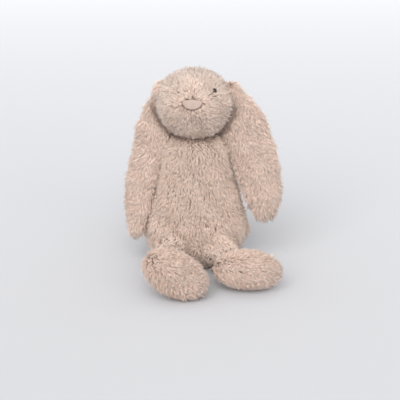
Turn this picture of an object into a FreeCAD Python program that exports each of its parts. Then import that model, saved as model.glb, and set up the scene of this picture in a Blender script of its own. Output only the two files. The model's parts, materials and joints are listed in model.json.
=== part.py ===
# A sitting plush rabbit with long hanging ears, as a parametric document.
#
# Millimetres, +Z up, the toy faces -Y, and its own left side is at +X. The origin is the middle of the flat
# seat, on the surface that the toy sits on. Every soft lump is a skin of plush fabric over a stuffing. The
# skin is cut into its sewn panels along the seams. Limbs, ears and head turn in round sockets, so each moving
# root is a ball and its seat is a slightly larger ball cut out of the neighbour.

import FreeCAD, Part
import Sketcher
import math
import os
from FreeCAD import Placement, Rotation, Vector

SIZES = (
    ("skin", 4.0, "plush fabric with the dense lower half of its pile"),
    ("fit_gap", 0.2, "between a skin and its stuffing"),
    ("joint_gap", 0.6, "between two bodies that move against each other"),
    ("belly_radius", 58.0, "of the arc that draws the belly"),
    ("belly_inset", 6.0, "how far that arc's centre lies past the axis"),
    ("belly_height", 38.0, "of that arc's centre above the seat"),
    ("dome_radius", 28.0, "of the round top of the torso, on which the head sits"),
    ("neck_height", 121.0, "of the neck's turning point above the seat"),
    ("seat_seam_radius", 40.0, "of the round seat panel"),
    ("side_seam_back", 14.0, "how far the side seams lie behind the middle"),
    ("band_thick", 1.4, "the gathered neck band"),
    ("band_low", 57.0, "the band's lower latitude on the dome, degrees"),
    ("band_high", 77.0, "its upper latitude, degrees"),
    ("head_half_width", 37.5, "of the head"),
    ("head_half_depth", 37.0, "of the head"),
    ("head_half_height", 36.0, "of the head"),
    ("head_forward", 4.0, "the head's centre ahead of the neck"),
    ("head_height", 178.0, "the head's centre above the seat"),
    ("face_turn", -6.0, "the face looks this far to the toy's right, degrees"),
    ("face_tilt", 18.0, "the head leans back by this, degrees"),
    ("gusset_width", 26.0, "of the panel from nose to nape"),
    ("gusset_low", 4.0, "the gusset's lower edge above the head's middle"),
    ("nose_width", 23.0, "of the nose patch"),
    ("nose_drop", 3.0, "the nose below the face's own level, degrees"),
    ("nose_thick", 3.0, "the padded patch"),
    ("nose_proud", 1.5, "how far it stands out of the plush"),
    ("eye_radius", 3.4, "of the bead"),
    ("eye_spread", 40.0, "each eye from the middle of the face, degrees"),
    ("eye_rise", 19.0, "each eye above the face's level, degrees"),
    ("shank_radius", 1.2, "of the eye's post"),
    ("shank_length", 9.5, "of the post, from the bead's middle"),
    ("washer_radius", 5.0, "of the lock washer behind the skin"),
    ("washer_thick", 1.3, "of the lock washer"),
    ("eye_fit", 0.12, "round the bead and its post"),
    ("ear_length_left", 143.0, "of the ear's blade, root to tip, as it hangs"),
    ("ear_length_right", 164.0, "of the ear's blade, root to tip, as it hangs"),
    ("ear_width", 46.0, "of the ear's blade"),
    ("ear_layer", 4.6, "each of the blade's two layers"),
    ("ear_root_radius", 8.0, "of the pleated root that is sewn to the head"),
    ("ear_root_side", 36.5, "the roots from the middle"),
    ("ear_root_front", 1.0, "the roots ahead of the neck"),
    ("ear_root_height", 192.0, "the roots above the seat"),
    ("shoulder_radius", 10.0, "the arm's round upper end"),
    ("shoulder_out", 31.0, "the shoulder from the torso's axis"),
    ("shoulder_height", 110.0, "above the seat"),
    ("arm_azimuth", 19.0, "the arms hang this far behind the sides, degrees"),
    ("arm_length", 84.0, "shoulder to hand, centre to centre"),
    ("arm_radius", 9.0, "below the shoulder"),
    ("hand_radius", 11.5, "of the round hand"),
    ("hand_out", 48.0, "the hand from the torso's axis"),
    ("hip_radius", 19.0, "the leg's round upper end"),
    ("hip_side", 24.0, "the hips from the middle"),
    ("hip_front", 43.0, "the hips ahead of the middle"),
    ("hip_height", 25.0, "above the seat"),
    ("thigh_radius", 14.0, "where the leg leaves the hip"),
    ("ankle_radius", 8.5, "where the leg meets the foot"),
    ("ankle_ball", 12.0, "the leg's round lower end"),
    ("foot_half_length", 33.0, "of the foot"),
    ("foot_half_width", 23.0, "of the foot"),
    ("foot_half_thick", 18.0, "of the foot"),
    ("heel_back", 11.0, "the ankle from the foot's middle, towards the heel"),
    ("heel_in", 15.0, "the ankle from the foot's middle, towards the leg"),
    ("leg_lift", 36.0, "how far the legs can be raised, degrees"),
    ("tail_radius", 13.0, "of the pompom tail"),
    ("tail_height", 30.0, "above the seat"),
    ("tail_out", 57.0, "the tail's middle behind the torso's axis"),
    ("pouch_radius", 27.0, "of the bean pouch in the seat"),
    ("pouch_half_height", 10.5, "of the bean pouch"),
    ("pouch_wall", 1.2, "its woven fabric"),
    ("pellet_radius", 3.2, "of one pellet"),
    ("pellet_gap", 0.3, "between pellets"),
    ("thread_radius", 0.45, "of the closing stitches"),
    ("stitch_length", 5.0, "of one closing stitch"),
    ("stitch_pitch", 6.0, "from one closing stitch to the next"),
)
STITCHES = 7
STITCH_START = 62.0  # height of the lowest closing stitch
FAR = 400.0  # larger than the toy, for the blocks that split it
POUCH_AT = Vector(0, 13, 15)
SWING_STEPS = 4  # leg positions whose room is cleared in the torso
SWEEP_EXTRA = 0.8  # more room, for what lies between those positions

# Each side's own pose: the legs lie forward and the feet have flopped over to the toy's left.
# Each has its ankle (side, front, height), the foot's turn about Y and its roll about its own length.
SIDES = (
    {"name": "left", "sign": 1, "ankle": (42.5, -82.0, 24.0), "tilt": 6.0, "roll": 38.0},
    {"name": "right", "sign": -1, "ankle": (-30.5, -105.0, 33.0), "tilt": 30.0, "roll": 0.0},
)
# The ear's lower end, from its root: outwards, forwards and down, and how far the blade's face is turned.
EAR_HANG = {
    "left": {"reach": (0.27, -0.17, -0.95), "turn": 8.0},
    "right": {"reach": (0.22, -0.17, -0.96), "turn": 38.0},
}

doc = FreeCAD.newDocument("plush_rabbit")
sheet = doc.addObject("Spreadsheet::Sheet", "Sizes")
for row, (alias, value, meaning) in enumerate(SIZES, 1):
    sheet.set(f"A{row}", alias)
    sheet.set(f"B{row}", str(value))
    sheet.setAlias(f"B{row}", alias)
    sheet.set(f"C{row}", meaning)
doc.recompute()
nodes = {}


def size(alias):
    return float(getattr(sheet, alias))


def bound(formula):
    """The formula with every alias read from the sheet."""
    for alias, _value, _meaning in sorted(SIZES, key=lambda s: -len(s[0])):
        formula = formula.replace("<" + alias + ">", "Sizes." + alias)
    return formula


def primitive(kind, name, place=None, **sizes):
    """A Part primitive. Its sizes are formulas in which <alias> is a cell of the sheet."""
    thing = doc.addObject("Part::" + kind, name)
    for prop, formula in sizes.items():
        if isinstance(formula, str):
            thing.setExpression(prop, bound(formula))
        else:
            setattr(thing, prop, formula)
    if place:
        thing.Placement = place
    return thing


def ball(name, centre, radius):
    return primitive("Sphere", name, Placement(centre, Rotation()), Radius=radius)


def block(name, low, high, place=None):
    """A box between two corners, used only to split shapes at a seam."""
    edge = Vector(*high) - Vector(*low)
    at = (place or Placement()).multiply(Placement(Vector(*low), Rotation()))
    return primitive("Box", name, at, Length=edge.x, Width=edge.y, Height=edge.z)


def cut(name, base, *tools):
    made = doc.addObject("Part::Cut", name)
    made.Refine = False
    made.Base = base
    made.Tool = tools[0] if len(tools) == 1 else fuse(name + "_tools", *tools)
    return made


def common(name, base, tool):
    made = doc.addObject("Part::Common", name)
    made.Refine = False
    made.Base = base
    made.Tool = tool
    return made


def fuse(name, *shapes):
    made = doc.addObject("Part::MultiFuse", name)
    made.Refine = False
    made.Shapes = list(shapes)
    return made


def cut_each(name, base, tools):
    """Cuts one tool after the other."""
    for n, tool in enumerate(tools, 1):
        base = cut(name if n == len(tools) else f"{name}_step{n}", base, tool)
    return base


def node(label, thing):
    """Registers a finished sub-part under the name of its file."""
    thing.Label = label
    nodes[label] = thing
    return thing


def aim(direction, width=Vector(1, 0, 0)):
    """A rotation that turns Z to direction and keeps X as near to width as it can."""
    forward = Vector(direction).normalize()
    up = forward.cross(width).normalize()
    return Rotation(up.cross(forward), up, forward, "ZXY")


def heading(azimuth, elevation):
    """A unit vector. Azimuth 0 looks out of the toy's front and grows to its left."""
    a = math.radians(azimuth)
    e = math.radians(elevation)
    return Vector(math.sin(a) * math.cos(e), -math.cos(a) * math.cos(e), math.sin(e))


# Torso ------------------------------------------------------------------------------------------------


def pear(name, inset):
    """The torso's round form, smaller all over by inset: a belly arc, a straight flank and a domed top."""
    lift = size("belly_height")
    inward = inset_length(inset or "0")
    belly = size("belly_radius") - inward
    dome = size("dome_radius") - inward
    aside = size("belly_inset")
    rise = size("neck_height") - lift
    span = math.hypot(aside, rise)
    lean = math.asin((belly - dome) / span) - math.atan2(aside, rise)
    foot = -math.asin((lift - inward) / belly)
    belly_at = Vector(-aside, lift, 0)
    dome_at = Vector(0, size("neck_height"), 0)

    def on(centre, radius, angle):
        return centre + Vector(math.cos(angle), math.sin(angle), 0) * radius

    body = doc.addObject("PartDesign::Body", name)
    sketch = body.newObject("Sketcher::SketchObject", name + "_profile")
    plane = [f for f in body.Origin.OriginFeatures if f.Role == "XZ_Plane"][0]
    sketch.AttachmentSupport = [(plane, "")]
    sketch.MapMode = "FlatFace"
    base = Vector(0, inward, 0)
    heel = on(belly_at, belly, foot)
    top = on(dome_at, dome, math.pi / 2)
    up = Vector(0, 0, 1)
    sketch.addGeometry(Part.LineSegment(base, heel))
    sketch.addGeometry(Part.ArcOfCircle(Part.Circle(belly_at, up, belly), foot, lean))
    sketch.addGeometry(Part.LineSegment(on(belly_at, belly, lean), on(dome_at, dome, lean)))
    sketch.addGeometry(Part.ArcOfCircle(Part.Circle(dome_at, up, dome), lean, math.pi / 2))
    sketch.addGeometry(Part.LineSegment(top, base))
    rules = [
        ("Coincident", 0, 2, 1, 1),
        ("Tangent", 1, 2, 2, 1),
        ("Tangent", 2, 2, 3, 1),
        ("Coincident", 3, 2, 4, 1),
        ("Coincident", 4, 2, 0, 1),
        ("Horizontal", 0),
        ("PointOnObject", 4, 1, -2),
        ("PointOnObject", 3, 3, -2),
        ("PointOnObject", 0, 1, -2),
    ]
    if not inset:
        rules.append(("PointOnObject", 0, 1, -1))
    for rule in rules:
        sketch.addConstraint(Sketcher.Constraint(*rule))
    shrink = " - " + inset if inset else ""
    measures = [
        ("belly_radius", ("Radius", 1), belly, "<belly_radius>" + shrink),
        ("belly_inset", ("DistanceX", 1, 3, -1, 1), aside, "<belly_inset>"),
        ("belly_height", ("DistanceY", -1, 1, 1, 3), lift, "<belly_height>"),
        ("dome_radius", ("Radius", 3), dome, "<dome_radius>" + shrink),
        ("neck_height", ("DistanceY", -1, 1, 3, 3), size("neck_height"), "<neck_height>"),
    ]
    if inset:
        measures.append(("floor", ("DistanceY", -1, 1, 0, 1), inward, inset))
    for label, what, number, formula in measures:
        index = sketch.addConstraint(Sketcher.Constraint(*what, number))
        sketch.renameConstraint(index, label)
        sketch.setExpression("Constraints." + label, bound(formula))
    turned = body.newObject("PartDesign::Revolution", name + "_turned")
    turned.Profile = sketch
    turned.ReferenceAxis = (sketch, ["V_Axis"])
    turned.Angle = 360
    return body


def inset_length(inset):
    """The length that an inset formula stands for now."""
    sign = -1 if "- " in inset else 1
    words = inset.replace("(", "").replace(")", "").replace("-", "+").split("+")
    return sign * sum(size(w.strip(" <>")) if "<" in w else float(w or 0) for w in words)



def limb(name, grow, ends, shaft):
    """Balls joined by tapered shafts, everything larger by grow. ends: (centre, radius formula)."""
    pieces = []
    for n, (centre, radius) in enumerate(ends):
        pieces.append(ball(f"{name}_ball{n}", centre, f"{radius} + {grow}"))
    for n, (start, end, low, high) in enumerate(shaft):
        way = end - start
        place = Placement(start, aim(way).multiply(Rotation(Vector(0, 0, 1), 90 + 11 * n)))
        ends = {"Radius1": f"{low} + {grow}", "Radius2": f"{high} + {grow}"}
        cone = primitive("Cone", f"{name}_shaft{n}", place, **ends)
        cone.Height = way.Length
        pieces.append(cone)
    return fuse(name, *pieces)


GAP = "<joint_gap>"
SKIN = "<skin>"
ROOM = "(<skin> + <fit_gap>)"


def arm_line(side):
    """Shoulder and hand of one arm."""
    out = heading(side["sign"] * (90 + size("arm_azimuth")), 0)
    shoulder = out * size("shoulder_out") + Vector(0, 0, size("shoulder_height"))
    spread = size("hand_out") - size("shoulder_out")
    drop = math.sqrt(size("arm_length") ** 2 - spread**2)
    return shoulder, shoulder + out * spread - Vector(0, 0, drop)


def arm_form(name, side, grow):
    shoulder, hand = arm_line(side)
    ends = [(shoulder, "<shoulder_radius>"), (hand, "<hand_radius>")]
    return limb(name, grow, ends, [(shoulder, hand, "<arm_radius>", "<hand_radius> * 0.93")])


def hip_of(side):
    return Vector(side["sign"] * size("hip_side"), -size("hip_front"), size("hip_height"))


def leg_form(name, side, grow):
    hip = hip_of(side)
    ankle = Vector(*side["ankle"])
    ends = [(hip, "<hip_radius>"), (ankle, "<ankle_ball>")]
    return limb(name, grow, ends, [(hip, ankle, "<thigh_radius>", "<ankle_radius>")])


def leg_sweep(name, side, grow):
    """The room that the upper leg needs while it is raised."""
    hip = hip_of(side)
    reach = Vector(*side["ankle"]) - hip
    shafts = []
    for step in range(SWING_STEPS):
        lift = Rotation(Vector(-1, 0, 0), size("leg_lift") * step / (SWING_STEPS - 1))
        way = lift.multVec(reach)
        low, high = (f"<thigh_radius> + {SWEEP_EXTRA}", f"<ankle_radius> + {SWEEP_EXTRA}")
        shafts.append((hip + way * (0.03 + 0.01 * step), hip + way, low, high))
    return limb(name, grow, [(hip, "<hip_radius>")], shafts)


def sockets(stem, grow):
    """What the torso leaves free for arms and legs, larger by grow."""
    tools = []
    for side in SIDES:
        tools.append(arm_form(f"{stem}_arm_{side['name']}", side, grow))
        tools.append(leg_sweep(f"{stem}_leg_{side['name']}", side, grow))
    return tools


torso_form = pear("torso_form", "")
torso_walls = sockets("torso_socket_walls", f"<joint_gap> + {SKIN}")
torso_hollow = cut_each("torso_hollow", pear("torso_room", SKIN), torso_walls)
torso_sockets = sockets("torso_sockets", GAP)

seam_back = size("side_seam_back")
seat_disc = primitive("Cylinder", "seat_disc", Radius="<seat_seam_radius>", Height="<skin> + 3")
front_side = block("front_side", (-FAR, -FAR, -FAR), (FAR, seam_back, FAR))
back_left = block("back_left", (0, seam_back, -FAR), (FAR, FAR, FAR))
back_right = block("back_right", (-FAR, seam_back, -FAR), (0, FAR, FAR))

stitches = []
for n in range(STITCHES):
    height = STITCH_START + n * size("stitch_pitch")
    lean = math.asin((size("belly_radius") - size("dome_radius")) / math.hypot(
        size("belly_inset"), size("neck_height") - size("belly_height")
    )) - math.atan2(size("belly_inset"), size("neck_height") - size("belly_height"))
    along = (size("neck_height") - height) * math.sin(lean) + size("dome_radius")
    surface = Vector(0, along / math.cos(lean), height)
    middle = surface - Vector(size("stitch_length") / 2, 0, 0)
    place = Placement(middle, Rotation(Vector(0, 1, 0), 90))
    bar = primitive("Cylinder", f"stitch{n}", place, Radius="<thread_radius>", Height="<stitch_length>")
    stitches.append(bar)
thread = fuse("closing_stitches", *stitches)

tail_at = Vector(0, size("tail_out"), size("tail_height"))
tail_form = cut("tail_form", ball("tail_ball", tail_at, "<tail_radius>"), torso_form)
tail_core = ball("tail_core", tail_at, f"<tail_radius> - {ROOM}")



def torso_panel(name, side):
    """The part of the torso's skin on one side of its seams."""
    outside = common(name + "_outside", torso_form, side)
    trims = [] if side is seat_disc else [seat_disc, thread]
    node(name, cut_each(name + "_part", outside, [*trims, torso_hollow, *torso_sockets]))


torso_panel("seat_panel", seat_disc)
torso_panel("torso_front", front_side)
torso_panel("torso_back_left", back_left)
torso_panel("torso_back_right", back_right)
node("closing_thread", thread)
node("tail_skin", cut("tail_wall", tail_form, ball("tail_room", tail_at, f"<tail_radius> - {SKIN}")))
node("tail_stuffing", cut("tail_fill", tail_core, torso_form))


def pouch_form(name, inset):
    place = Placement(POUCH_AT, Rotation())
    flat = f"<pouch_half_height> - {inset}"
    wide = f"<pouch_radius> - {inset}"
    return primitive("Ellipsoid", name, place, Radius1=flat, Radius2=wide, Radius3=wide)


pouch = pouch_form("pouch_outside", "0")
node("seat_bean_pouch", cut("pouch_wall_part", pouch, pouch_form("pouch_inside", "<pouch_wall>")))

pitch = 2 * size("pellet_radius") + size("pellet_gap")
wide = size("pouch_radius") - size("pouch_wall") - size("pellet_radius") - size("pellet_gap")
flat = size("pouch_half_height") - size("pouch_wall") - size("pellet_radius") - size("pellet_gap")
pellets = []
for layer in (-1, 0, 1):
    for row in range(-6, 7):
        for column in range(-6, 7):
            spot = Vector(
                pitch * (column + (row % 2) / 2 + abs(layer) / 2),
                pitch * (row * math.sqrt(3) / 2 + abs(layer) / math.sqrt(12)),
                pitch * layer * math.sqrt(2 / 3),
            )
            if (spot.x**2 + spot.y**2) / wide**2 + spot.z**2 / flat**2 <= 1:
                pellets.append(ball(f"pellet{len(pellets)}", POUCH_AT + spot, "<pellet_radius>"))
beans = doc.addObject("Part::Compound", "pellets")
beans.Links = pellets
node("seat_beans", beans)
stuffing_room = sockets("torso_stuffing_room", f"<joint_gap> + {ROOM}")
node("torso_stuffing", cut_each("torso_fill", pear("torso_core", ROOM), [*stuffing_room, pouch]))

# Neck and head ----------------------------------------------------------------------------------------

neck_at = Vector(0, 0, size("neck_height"))
band_radius = f"<dome_radius> + {GAP} + <band_thick>"
band = primitive("Sphere", "band_outside", Placement(neck_at, Rotation()), Radius=band_radius)
band.setExpression("Angle1", "Sizes.band_low")
band.setExpression("Angle2", "Sizes.band_high")
node("neck_seam_band", cut("band", band, ball("band_inside", neck_at, f"<dome_radius> + {GAP}")))

head_at = Vector(0, -size("head_forward"), size("head_height"))
face_tilt = size("face_tilt")
turned = Placement(head_at, Rotation(Vector(0, 0, 1), size("face_turn")))


def head_form(name, grow):
    radii = {"Radius1": "height", "Radius2": "width", "Radius3": "depth"}
    sizes = {prop: f"<head_half_{word}> + {grow}" for prop, word in radii.items()}
    return primitive("Ellipsoid", name, Placement(head_at, Rotation()), **sizes)


def on_head(azimuth, elevation, rise):
    """A point at a height over the head's surface in a direction of the tilted face, and that direction."""
    tilt = Rotation(Vector(-1, 0, 0), face_tilt)
    way = turned.Rotation.multVec(tilt.multVec(heading(azimuth, elevation)))
    radii = Vector(size("head_half_width"), size("head_half_depth"), size("head_half_height"))
    reach = 1 / math.sqrt((way.x / radii.x) ** 2 + (way.y / radii.y) ** 2 + (way.z / radii.z) ** 2)
    return head_at + way * (reach + rise), way


def ear_root_at(side):
    return Vector(side["sign"] * size("ear_root_side"), -size("ear_root_front"), size("ear_root_height"))


def head_sockets(stem, grow):
    tools = [ball(stem + "_neck", neck_at, f"<dome_radius> + 2 * {GAP} + <band_thick> + {grow}")]
    for side in SIDES:
        name = f"{stem}_ear_{side['name']}"
        tools.append(ball(name, ear_root_at(side), f"<ear_root_radius> + {GAP} + {grow}"))
    return tools


nose_at, nose_way = on_head(0, -size("nose_drop"), 0)
nose_place = Placement(nose_at, aim(nose_way))
nose_radii = {"Radius1": 20.0, "Radius2": "<nose_width> / 2", "Radius3": "<nose_width> * 0.36"}
nose_prism = primitive("Ellipsoid", "nose_prism", nose_place, **nose_radii)
nose_top = block("nose_top", (-20, -20, -25), (20, -0.15 * size("nose_width"), 25), nose_place)
nose_outside = head_form("nose_outside", "<nose_proud>")
nose_inside = head_form("nose_inside", "(<nose_proud> - <nose_thick>)")
nose_sheet = cut("nose_sheet", nose_outside, nose_inside)
nose = common("nose", cut("nose_outline", nose_prism, nose_top), nose_sheet)
nose_front = block("nose_front", (-20, -20, -18), (20, 20, 25), nose_place)
node("nose_patch", common("nose_pad", nose, nose_front))

eye_holes = []
pockets = []
for side in SIDES:
    label = side["name"]
    eye_at, eye_way = on_head(side["sign"] * size("eye_spread"), size("eye_rise"), 0.5)
    inward = Placement(eye_at, aim(-eye_way))
    bead = ball(f"eye_bead_{label}", eye_at, "<eye_radius>")
    post = {"Radius": "<shank_radius>", "Height": "<shank_length>"}
    shank = primitive("Cylinder", f"eye_post_{label}", inward, **post)
    seat = inward.multiply(Placement(Vector(0, 0, size("skin") + 1.3), Rotation()))
    ring = {"Radius": "<washer_radius>", "Height": "<washer_thick>"}
    disc = primitive("Cylinder", f"washer_disc_{label}", seat, **ring)
    eye = fuse(f"eye_{label}_part", bead, shank)
    cup = ball(f"eye_cup_{label}", eye_at, "<eye_radius> + <eye_fit>")
    room = {"Radius": "<shank_radius> + <eye_fit>", "Height": "<shank_length> + 1"}
    bore = primitive("Cylinder", f"eye_bore_{label}", inward, **room)
    eye_holes.append(fuse(f"eye_hole_{label}", cup, bore))
    washer = cut(f"washer_{label}", disc, shank)
    recess = Placement(Vector(0, 0, size("skin") + 1.3 + size("washer_thick") - 6), Rotation())
    recess = inward.multiply(recess)
    pocket = {"Radius": "<washer_radius> + 0.1", "Height": 6.0}
    pockets.append(primitive("Cylinder", f"washer_pocket_{label}", recess, **pocket))
    node(f"eye_{label}", eye)
    node(f"eye_washer_{label}", washer)

head_walls = head_sockets("head_socket_walls", SKIN)
head_hollow = cut_each("head_hollow", head_form("head_room", "(0 - <skin>)"), head_walls)
head_wall = cut("head_wall", head_form("head_outside", "0"), head_hollow)
head_openings = [*head_sockets("head_sockets", "0"), nodes["nose_patch"], *eye_holes]
head_shell = cut_each("head_shell", head_wall, head_openings)
half = size("gusset_width") / 2
low = size("gusset_low")
gusset = block("gusset", (-half, -FAR, low), (half, FAR, FAR), turned)
left_half = block("left_half", (0, -FAR, -FAR), (FAR, FAR, FAR), turned)
right_half = block("right_half", (-FAR, -FAR, -FAR), (0, FAR, FAR), turned)
head_sides = cut("head_sides", head_shell, gusset)
node("head_gusset", common("head_gusset_part", head_shell, gusset))
node("head_side_left", common("head_left_part", head_sides, left_half))
node("head_side_right", common("head_right_part", head_sides, right_half))
head_core = head_form("head_core", f"(0 - {ROOM})")
head_fill_rooms = [*head_sockets("head_fill_room", ROOM), *eye_holes, *pockets]
node("head_stuffing", cut_each("head_fill", head_core, head_fill_rooms))

# Ears -------------------------------------------------------------------------------------------------

EAR_SEAM = 0.2  # the layers meet this far from the middle of the thickness
# Cross-sections of the blade: along (of its length), middle and half width (of its width), thickness
BLADE = (
    (-0.055, 0.22, 0.07, 0.5),
    (0.0, 0.21, 0.2, 0.9),
    (0.1, 0.25, 0.29, 1.0),
    (0.26, 0.24, 0.4, 1.0),
    (0.49, 0.2, 0.475, 1.0),
    (0.67, 0.15, 0.45, 1.0),
    (0.84, 0.15, 0.33, 0.95),
    (0.94, 0.155, 0.2, 0.8),
    (0.985, 0.14, 0.1, 0.6),
    (1.0, 0.13, 0.035, 0.3),
)
for side in SIDES:
    label = side["name"]
    sign = side["sign"]
    hang = EAR_HANG[label]
    root = ear_root_at(side)
    reach = Vector(sign * hang["reach"][0], hang["reach"][1], hang["reach"][2]).normalize()
    turn = math.radians(hang["turn"])
    across = Vector(sign * math.cos(turn), math.sin(turn), 0)
    frame = Placement(root, aim(reach, across))
    across = frame.Rotation.multVec(Vector(1, 0, 0))
    front = frame.Rotation.multVec(Vector(0, 1, 0)).y < 0
    length = size(f"ear_length_{label}")
    sections = []
    for n, (along, middle, wide, thick) in enumerate(BLADE):
        spot = frame.multiply(Placement(Vector(middle * size("ear_width"), 0, along * length), Rotation()))
        ring = primitive("Ellipse", f"ear_{label}_ring{n}", spot)
        # an ellipse's long radius comes first, and every section is wider than it is thick
        ring.setExpression("MajorRadius", bound(f"<ear_width> * {wide}"))
        ring.setExpression("MinorRadius", bound(f"min(<ear_layer> * {thick}; <ear_width> * {wide} * 0.95)"))
        sections.append(ring)
    blade = doc.addObject("Part::Loft", f"ear_{label}_blade")
    blade.Sections = sections
    blade.Solid = True
    free = cut(
        f"ear_{label}_free",
        blade,
        ball(f"ear_{label}_socket", root, f"<ear_root_radius> + {GAP}"),
        head_form(f"ear_{label}_head_room", "0.6"),
    )
    ahead = block(f"ear_{label}_ahead", (-FAR, EAR_SEAM, -FAR), (FAR, FAR, FAR), frame)
    behind = block(f"ear_{label}_behind", (-FAR, -FAR, -FAR), (FAR, EAR_SEAM, FAR), frame)
    lining_side, back_side = (ahead, behind) if front else (behind, ahead)
    node(f"ear_{label}_lining", common(f"ear_{label}_lining_part", free, lining_side))
    node(f"ear_{label}_back", common(f"ear_{label}_back_part", free, back_side))
    node(f"ear_{label}_root", ball(f"ear_{label}_root_ball", root, "<ear_root_radius>"))

# Arms -------------------------------------------------------------------------------------------------

for side in SIDES:
    label = side["name"]
    shoulder, hand = arm_line(side)
    outside = arm_form(f"arm_{label}_form", side, "0")
    room = arm_form(f"arm_{label}_room", side, f"(0 - {SKIN})")
    skin = cut(f"arm_{label}_skin", outside, room)
    out = heading(side["sign"] * (90 + size("arm_azimuth")), 0)
    seam = Placement(shoulder, aim(hand - shoulder, out))
    outer = block(f"arm_{label}_outward", (0, -FAR, -FAR), (FAR, FAR, FAR), seam)
    inner = block(f"arm_{label}_inward", (-FAR, -FAR, -FAR), (0, FAR, FAR), seam)
    node(f"arm_{label}_outer", common(f"arm_{label}_outer_part", skin, outer))
    node(f"arm_{label}_inner", common(f"arm_{label}_inner_part", skin, inner))
    node(f"arm_{label}_stuffing", arm_form(f"arm_{label}_core", side, f"(0 - {ROOM})"))

# Legs and feet ----------------------------------------------------------------------------------------


# Sections of a foot: along (of its half length), girth (of its half width and half thickness)
FOOT_HEEL = ((-1, 0.12), (-0.97, 0.3), (-0.85, 0.56), (-0.6, 0.82))
FOOT_TOE = ((-0.2, 0.98), (0.2, 0.99), (0.6, 0.85), (0.85, 0.6), (0.97, 0.31), (1, 0.12))
FOOT = (*FOOT_HEEL, *FOOT_TOE)


def foot_place(side):
    """The foot's own frame: X to the toes, Y through its thickness, Z across its width."""
    turn = Rotation(Vector(0, 1, 0), side["tilt"])
    roll = Rotation(turn.multVec(Vector(1, 0, 0)), side["roll"])
    toes = turn.multVec(Vector(1, 0, 0)) * size("heel_back")
    return Placement(Vector(*side["ankle"]) + toes - Vector(0, size("heel_in"), 0), roll.multiply(turn))


def foot_form(name, side, grow):
    """An egg shape of elliptic sections from heel to toes."""
    sections = []
    for n, (along, girth) in enumerate(FOOT):
        spot = Vector(along * (size("foot_half_length") + inset_length(grow)), 0, 0)
        place = foot_place(side).multiply(Placement(spot, Rotation(Vector(0, -1, 0), 90)))
        ring = primitive("Ellipse", f"{name}_ring{n}", place)
        ring.setExpression("MajorRadius", bound(f"(<foot_half_width> + {grow}) * {girth}"))
        ring.setExpression("MinorRadius", bound(f"(<foot_half_thick> + {grow}) * {girth}"))
        sections.append(ring)
    form = doc.addObject("Part::Loft", name)
    form.Sections = sections
    form.Solid = True
    return form


for side in SIDES:
    label = side["name"]
    ankle = Vector(*side["ankle"])
    core = leg_form(f"leg_{label}_core", side, f"(0 - {ROOM})")
    room = leg_form(f"leg_{label}_room", side, f"(0 - {SKIN})")
    node(f"leg_{label}_skin", cut(f"leg_{label}_wall", leg_form(f"leg_{label}_form", side, "0"), room))
    node(f"leg_{label}_stuffing", core)
    socket = ball(f"foot_{label}_socket", ankle, f"<ankle_ball> + {GAP}")
    walls = ball(f"foot_{label}_socket_wall", ankle, f"<ankle_ball> + {GAP} + {SKIN}")
    form = foot_form(f"foot_{label}_form", side, "0")
    hollow = cut(f"foot_{label}_hollow", foot_form(f"foot_{label}_room", side, f"(0 - {SKIN})"), walls)
    shell = cut_each(f"foot_{label}_shell", form, [hollow, socket])
    fore = foot_place(side)
    seam = -size("foot_half_thick") / 3
    sole_side = block(f"foot_{label}_fore", (-FAR, -FAR, -FAR), (FAR, seam, FAR), fore)
    upper_side = block(f"foot_{label}_aft", (-FAR, seam, -FAR), (FAR, FAR, FAR), fore)
    node(f"foot_{label}_sole", common(f"foot_{label}_sole_part", shell, sole_side))
    node(f"foot_{label}_upper", common(f"foot_{label}_upper_part", shell, upper_side))
    inside = ball(f"foot_{label}_fill_room", ankle, f"<ankle_ball> + {GAP} + {ROOM}")
    core = foot_form(f"foot_{label}_core", side, f"(0 - {ROOM})")
    node(f"foot_{label}_stuffing", cut(f"foot_{label}_fill", core, inside))

# Checks and files -------------------------------------------------------------------------------------

doc.recompute()
faults = []
for thing in doc.Objects:
    if "Invalid" in thing.State or "Error" in thing.State:
        faults.append(f"{thing.Name} did not compute")
os.makedirs("parts", exist_ok=True)
for label, thing in nodes.items():
    shape = thing.Shape
    expected = {"seat_beans": len(pellets), "closing_thread": STITCHES}.get(label, 1)
    if shape.isNull() or not shape.isValid():
        faults.append(f"{label} has no valid shape")
        continue
    if len(shape.Solids) != expected:
        volumes = [round(s.Volume, 2) for s in shape.Solids]
        faults.append(f"{label} has {len(shape.Solids)} solids of {volumes}, not {expected}")
    shape.exportStep(f"parts/{label}.step")
    print(f"{label:20s} {shape.Volume:12.1f} mm3")
print(f"{len(nodes)} sub-parts, {len(doc.Objects)} objects, {len(pellets)} pellets")
for fault in faults:
    print("FAULT", fault)
if faults:
    raise RuntimeError("; ".join(faults))
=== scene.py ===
"""A sitting plush rabbit: stuffed forms of cloth with a combed pile of tufts over each.

It has bead eyes and a suede nose. Places are in millimetres until MM turns them into metres. Left and right
are the toy's own: it faces -Y, and its left side is at +X.
"""

import json
import math

import bmesh
import bpy
import numpy as np
from mathutils import Euler, Matrix, Vector, kdtree


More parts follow.
